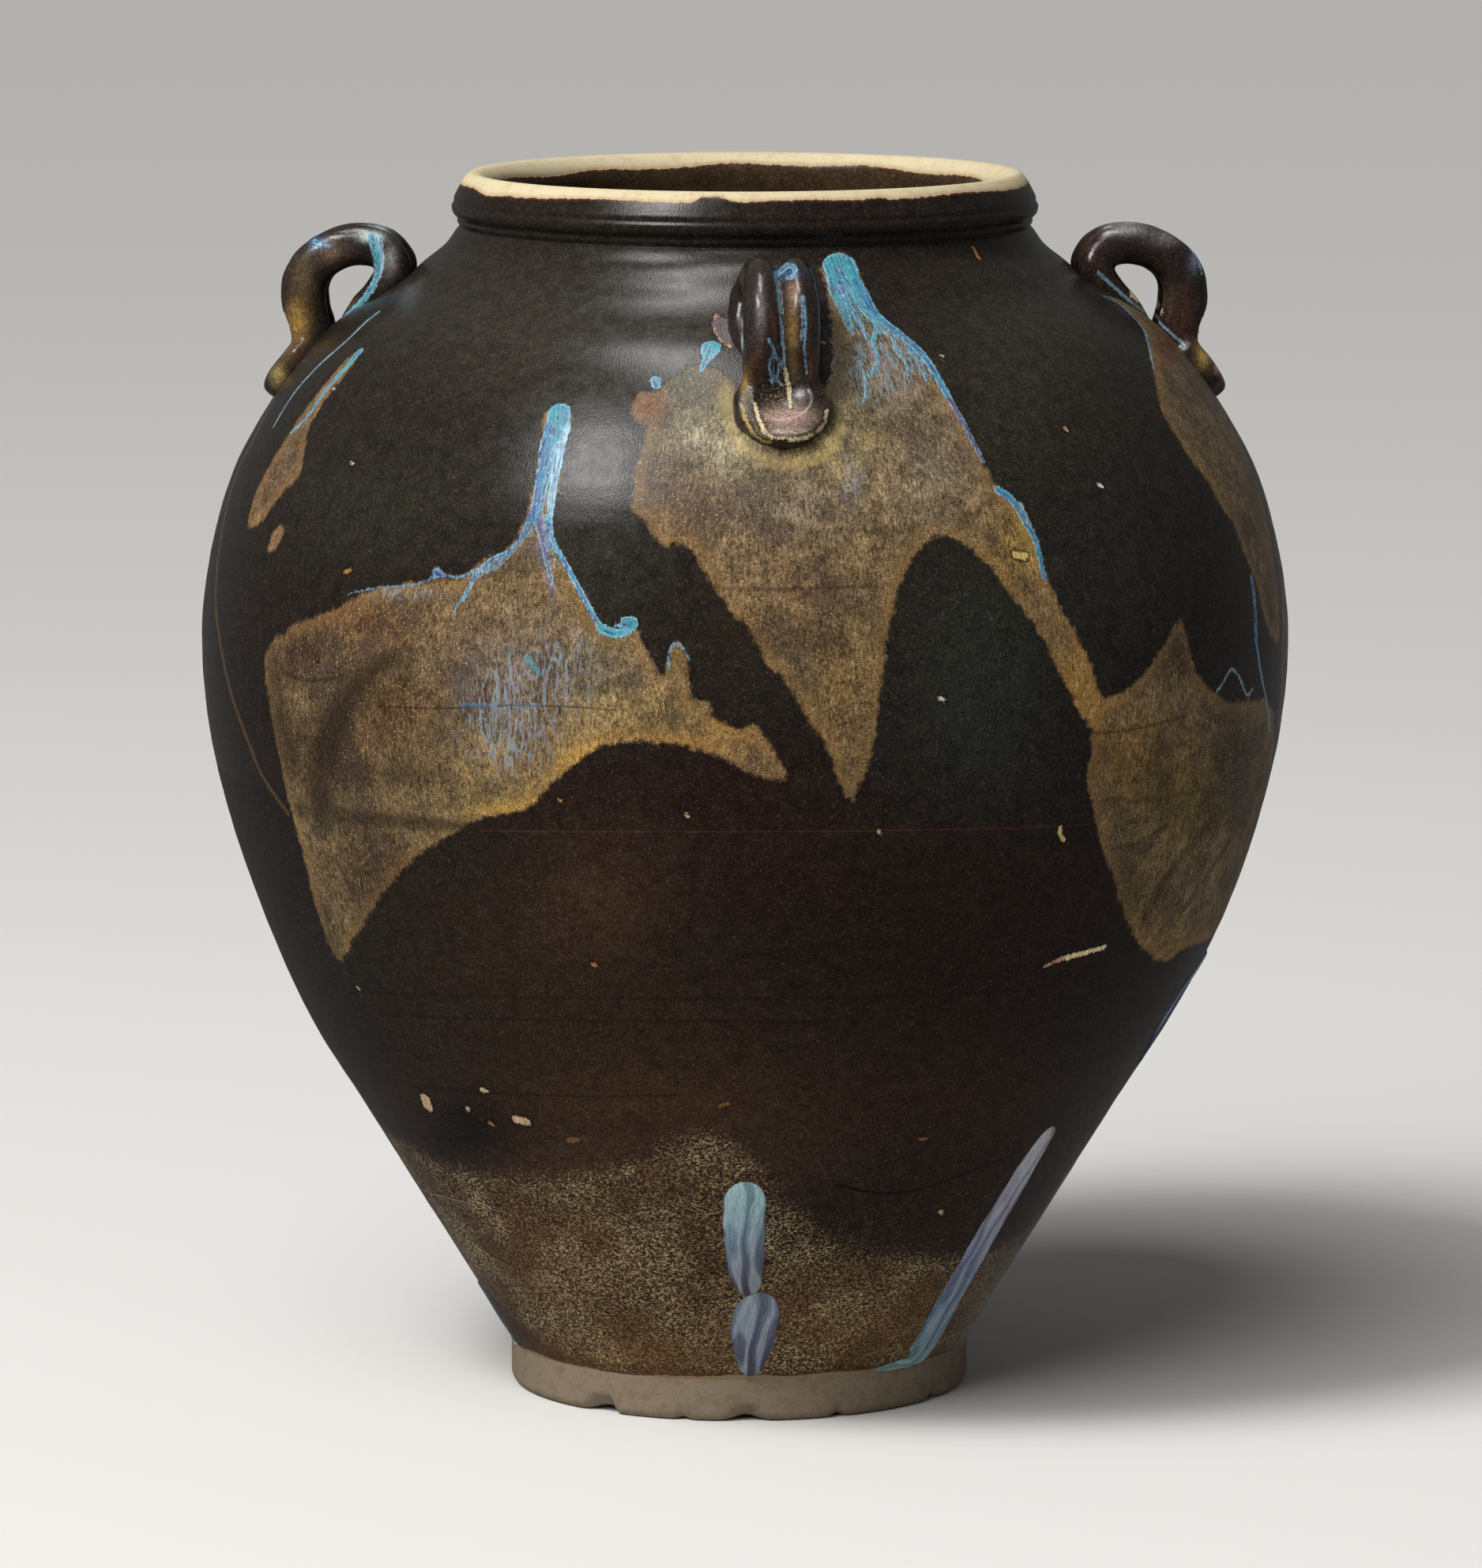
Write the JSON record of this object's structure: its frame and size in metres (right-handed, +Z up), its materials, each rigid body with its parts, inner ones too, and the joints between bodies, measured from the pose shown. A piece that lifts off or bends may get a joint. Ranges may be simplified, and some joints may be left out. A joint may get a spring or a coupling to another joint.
{
  "type": "stoneware jar",
  "caption": "Ovoid stoneware storage jar with a flat foot, full belly, rolled lip and paired-strand loop lugs on the shoulder, under dark splashed glaze.",
  "frame": {"origin": "centre of the foot's resting face, on the jar's axis", "axes": "+Z up the jar's axis, -Y towards the side that the picture shows"},
  "size_m": [0.3432, 0.3432, 0.385],
  "materials": {
    "bare_clay": "bare grey-buff stoneware",
    "brown_glaze": "speckled brown glaze",
    "splashed_glaze": "black-brown glaze with ochre and blue splashes",
    "dark_glaze": "black-brown glaze",
    "lug_glaze": "brown glaze, thin and ochre on the edges"
  },
  "bodies": {
    "root": {"base_slab": "bare_clay", "lower_wall": "brown_glaze", "upper_wall": "splashed_glaze", "neck_ring": "dark_glaze", "front_lug_near_strand": "lug_glaze", "front_lug_far_strand": "lug_glaze", "front_lug_pad": "lug_glaze", "right_lug_near_strand": "lug_glaze", "right_lug_far_strand": "lug_glaze", "right_lug_pad": "lug_glaze", "back_lug_near_strand": "lug_glaze", "back_lug_far_strand": "lug_glaze", "back_lug_pad": "lug_glaze", "left_lug_near_strand": "lug_glaze", "left_lug_far_strand": "lug_glaze", "left_lug_pad": "lug_glaze"}
  },
  "joints": []
}
